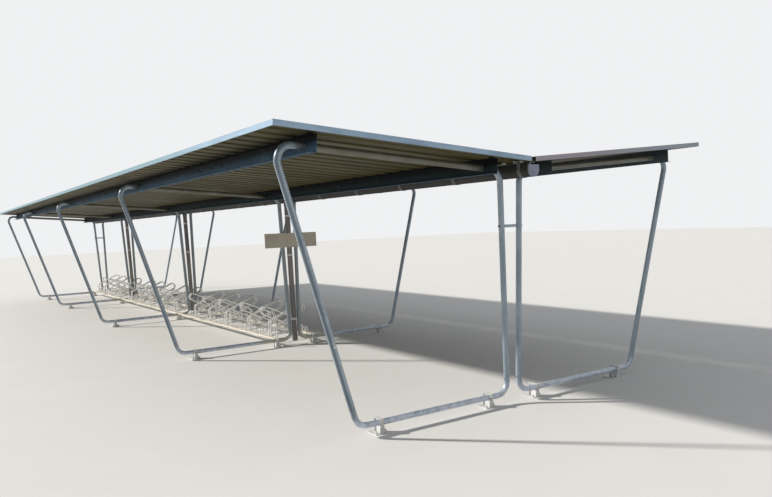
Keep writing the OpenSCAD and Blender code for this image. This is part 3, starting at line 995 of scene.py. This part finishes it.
def gutter_band(inner, outer, y0, y1):
    """A band between two gutter outlines, from y0 to y1."""
    return along_gutter(np.concatenate([gutter_line(outer), gutter_line(inner)[::-1]]), y0, y1)


print("gutter from", round(gutter_low, 3), "to", round(gutter_rim, 3), "m high")

# %% Gutter beads and sleeves
BEAD_R = 0.0035
BEAD_DROP = 0.001
BEAD_SHORT = 0.004
SLEEVE_IN = GUTTER_R + SEAT
SLEEVE_OUT = GUTTER_R + 0.0015
SLEEVE_HALF = 0.030
bead_x = GUTTER_R - BEAD_R - 0.0001
sleeve_y = frame_y[0] + np.array([1.98, 5.42, 8.86, 12.30])
beads = []
for x in (-bead_x, bead_x):
    bead_ends = [(x, y, gutter_rim - BEAD_DROP) for y in (front_edge + BEAD_SHORT, rear_edge - BEAD_SHORT)]
    beads.append(carried(bead_ends, circle_ring(BEAD_R, 10), (1, 0, 0)))
sleeves = [gutter_band(SLEEVE_IN, SLEEVE_OUT, y - SLEEVE_HALF, y + SLEEVE_HALF) for y in sleeve_y]
piece("gutter_trim", joined(*beads, *sleeves), gutter_coat)

# %% Gutter caps
CAP_R = GUTTER_R + 0.0014
CAP_RIM = 0.014
CAP_GAP = 0.0002
front_cap = (roof_front + CAP_GAP, front_edge - CAP_GAP)
rear_cap = (rear_edge + CAP_GAP, roof_rear - CAP_GAP)
caps = [along_gutter(gutter_line(CAP_R), *front_cap),
        gutter_band(SLEEVE_IN, CAP_R, front_cap[0], front_cap[0] + CAP_RIM),
        along_gutter(gutter_line(CAP_R), *rear_cap),
        gutter_band(SLEEVE_IN, CAP_R, rear_cap[0] - CAP_RIM, rear_cap[0])]
piece("gutter_caps", joined(*caps), cap_coat)

# %% Screws in the straps' ears
STRAP_FIRST = 0.169
STRAP_PITCH = 0.860
EAR_SCREWS = (0.085, 0.112)
EAR_THICK = 0.003
strap_y = np.arange(frame_y[0] - STRAP_FIRST, frame_y[-1] + STRAP_FIRST, STRAP_PITCH)
ear_w = PURLIN_HALF - EAR_THICK - SEAT
ear_screws = [laid(roof_screw, wing_place(side, u, strap_y, ear_w), reversed_axis(wing_up(side)))
              for side in SIDES for u in EAR_SCREWS]
piece("strap_screws", joined(*ear_screws), screw_zinc)
print("straps at", len(strap_y), "places")

# %% Clamps and outlets of the downpipes
PIPE_R = 0.035
PIPE_IN = PIPE_R + SEAT
CLAMP_HEIGHTS = np.array([0.35, 1.22, 1.74])
OUTLET_DROP = 0.038
pipe_y = frame_y[1:4]
band = tube_wall(PIPE_IN, PIPE_R + 0.002, 0, 0.026, 40)
left_ear = block((-0.0035, -0.054, 0.001), (-0.0007, -0.0355, 0.025))
right_ear = block((0.0007, -0.054, 0.001), (0.0035, -0.0355, 0.025))
clamp_bolt = laid(hexagon(0.010, 0.005), [(-0.0037, -0.046, 0.013)], FACING_LEFT)
clamp = joined(band, left_ear, right_ear, clamp_bolt)
clamps = [laid(clamp, grid_of([0.0], pipe_y, z)) for z in CLAMP_HEIGHTS]
piece("pipe_clamps", joined(*clamps), fitting_zinc)
collar = PIPE_R + 0.0035
outlet_profile = [(PIPE_IN, 0), (collar, 0), (PIPE_R + 0.0045, 0.006), (collar, 0.012),
                  (collar, 0.034), (PIPE_IN, 0.034)]
outlet = turned(outlet_profile, 40, closed=True)
piece("pipe_outlets", laid(outlet, grid_of([0.0], pipe_y, gutter_low - OUTLET_DROP)), pipe_coat)

# %% [markdown]
# ## The bare sign plate and the ties
#
# The plate spans the inner legs of the second frame. It is left bare, with a raised rim.
# Four pipe bands hold it to the legs, and their bolt heads show on its face, as do four
# smaller ones near its corners.

# %% Rim, bands and bolts of the plate
RIM = 0.006
RIM_BACK = 0.0002
RIM_FRONT = 0.0012
BAND_IN = 0.040
CORNER_IN = 0.019
CORNER_UP = 0.016
plate_low, plate_high = np.array(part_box("sign_plate"), float)
plate_face = plate_low[1]


def plate_rim():
    """A frame of four bars along the plate's edge, 6 mm wide and 1 mm thick."""
    (x0, _, z0), (x1, _, z1) = plate_low, plate_high
    front, back = plate_face - RIM_FRONT, plate_face - RIM_BACK
    bars = [((x0, z0), (x1, z0 + RIM)), ((x0, z1 - RIM), (x1, z1)),
            ((x0, z0 + RIM), (x0 + RIM, z1 - RIM)), ((x1 - RIM, z0 + RIM), (x1, z1 - RIM))]
    return joined(*[block((xa, front, za), (xb, back, zb)) for (xa, za), (xb, zb) in bars])


piece("sign_rim", plate_rim(), plate_coat)
band_z = np.array([plate_low[2] + BAND_IN, plate_high[2] - BAND_IN])
band_x = leg_x(INNER_LEG, band_z)
band_bolts = [(side * x, plate_face - SEAT, z) for side in SIDES for x, z in zip(band_x, band_z)]
corner_bolts = [(x, plate_face - SEAT, z) for x in (plate_low[0] + CORNER_IN, plate_high[0] - CORNER_IN)
                for z in (plate_low[2] + CORNER_UP, plate_high[2] - CORNER_UP)]
sign_bolts = joined(laid(flange_bolt, band_bolts, FACING_FRONT),
                    laid(small_bolt, corner_bolts, FACING_FRONT))
piece("sign_bolts", sign_bolts, fitting_zinc)
leg_band = tube_wall(tube_r + SEAT, tube_r + 0.002, -0.010, 0.010, 36)
bridge = block((-0.008, -0.0345, -0.008), (0.008, -tube_r - 0.0015, 0.008))
on_axes = [(x, frame_y[1], z) for x, _, z in band_bolts]
piece("sign_bands", laid(joined(leg_band, bridge), on_axes), fitting_zinc)

# %% Beads and bolts where the ties meet the legs
TIE_BEAD_R = 0.0024
TIE_BEAD_SIDE = 0.005
TIE_BEAD_SHORT = 0.001
tie_low, tie_high = span("leg_ties", 2)
tie_end = leg_x(INNER_LEG, tie_low) - tube_r
end_frames = frame_y[[0, -1]]
bead_path = [(0, 0, tie_low + TIE_BEAD_SHORT), (0, 0, tie_high - TIE_BEAD_SHORT)]
tie_bead = carried(bead_path, circle_ring(TIE_BEAD_R, 8), (1, 0, 0))
tie_places = [(side * tie_end, y + beside, 0) for side in SIDES for y in end_frames
              for beside in (-TIE_BEAD_SIDE, TIE_BEAD_SIDE)]
piece("tie_welds", laid(tie_bead, tie_places), strap_zinc)
tie_mid = (tie_low + tie_high) / 2
bolt_x = leg_x(INNER_LEG, tie_mid) + tube_r
tie_bolts = joined(laid(flange_bolt, grid_of([-bolt_x], end_frames, tie_mid), FACING_LEFT),
                   laid(flange_bolt, grid_of([bolt_x], end_frames, tie_mid), FACING_RIGHT))
piece("tie_bolts", tie_bolts, strap_zinc)

# %% [markdown]
# ## Floor, background and light
#
# The shelter stands on a plain pale floor. A low sun from behind its left side is what
# draws the bright edges on the tubes in the photograph. A sun lamp with a slightly soft
# edge stands there, because its shadows are parallel, where those of a lamp close by
# would spread. The pale world fills the rest evenly. The camera and reflections see a
# brighter world than the one that lights the scene: a light path tells the kinds of ray
# apart.

# %% Lay the floor
FLOOR_REACH = 60.0


def pale_floor():
    """A square floor on the ground, in two close pale tones."""
    finish = Finish("pale_floor", Roughness=0.9)
    grain = finish.noise(1.5, 2)
    finish.put(Base_Color=finish.mix(grain, shade(226, 225, 222), shade(232, 231, 228)))
    corners = FLOOR_REACH * np.array([(-1, -1, 0), (1, -1, 0), (1, 1, 0), (-1, 1, 0)])
    mesh = bpy.data.meshes.new("floor")
    mesh.from_pydata(corners.tolist(), [], [(0, 1, 2, 3)])
    mesh.materials.append(finish.material)
    floor = bpy.data.objects.new("floor", mesh)
    bpy.context.scene.collection.objects.link(floor)
    return floor


floor = pale_floor()
print("floor of", 2 * FLOOR_REACH, "m a side")

# %% Place the sun
SUN_PLACE = Vector((-13, 10.8, 10))
SUN_STRENGTH = 3.9
SUN_WIDTH = math.radians(2.5)
SUN_COLOUR = (1.0, 0.96, 0.90)
sun_lamp = bpy.data.lights.new("low_sun", "SUN")
sun_lamp.energy = SUN_STRENGTH
sun_lamp.angle = SUN_WIDTH
sun_lamp.color = SUN_COLOUR
sun = bpy.data.objects.new("low_sun", sun_lamp)
sun.location = SUN_PLACE
sun.rotation_euler = (-SUN_PLACE).to_track_quat("-Z", "Y").to_euler()
bpy.context.scene.collection.objects.link(sun)
print("sun of strength", SUN_STRENGTH, "from", list(SUN_PLACE))

# %% Surround it with a pale world
SKY_LIGHT = ((0.92, 0.95, 1.0, 1), 0.40)
SKY_SEEN = (shade(240, 241, 242), 1.0)


def pale_world(light, seen):
    """A world that lights the scene with one colour and strength and is seen with another.

    Camera, glossy and transmission rays see the second: their flags are added and clamped.
    """
    world = bpy.data.worlds.new("pale_world")
    world.use_nodes = True
    made, links = world.node_tree.nodes, world.node_tree.links
    made.clear()
    path = made.new("ShaderNodeLightPath")
    two_flags = made.new("ShaderNodeMath")
    all_flags = made.new("ShaderNodeMath")
    two_flags.operation = all_flags.operation = "ADD"
    all_flags.use_clamp = True
    links.new(path.outputs["Is Camera Ray"], two_flags.inputs[0])
    links.new(path.outputs["Is Glossy Ray"], two_flags.inputs[1])
    links.new(two_flags.outputs[0], all_flags.inputs[0])
    links.new(path.outputs["Is Transmission Ray"], all_flags.inputs[1])
    chosen = made.new("ShaderNodeMixShader")
    links.new(all_flags.outputs[0], chosen.inputs["Fac"])
    for slot, (colour, strength) in enumerate((light, seen), 1):
        background = made.new("ShaderNodeBackground")
        background.inputs["Color"].default_value = colour
        background.inputs["Strength"].default_value = strength
        links.new(background.outputs[0], chosen.inputs[slot])
    links.new(chosen.outputs[0], made.new("ShaderNodeOutputWorld").inputs["Surface"])
    bpy.context.scene.world = world


pale_world(SKY_LIGHT, SKY_SEEN)
bpy.context.scene.view_settings.view_transform = "Standard"
print("a world that lights with", SKY_LIGHT[1], "and is seen with", SKY_SEEN[1])
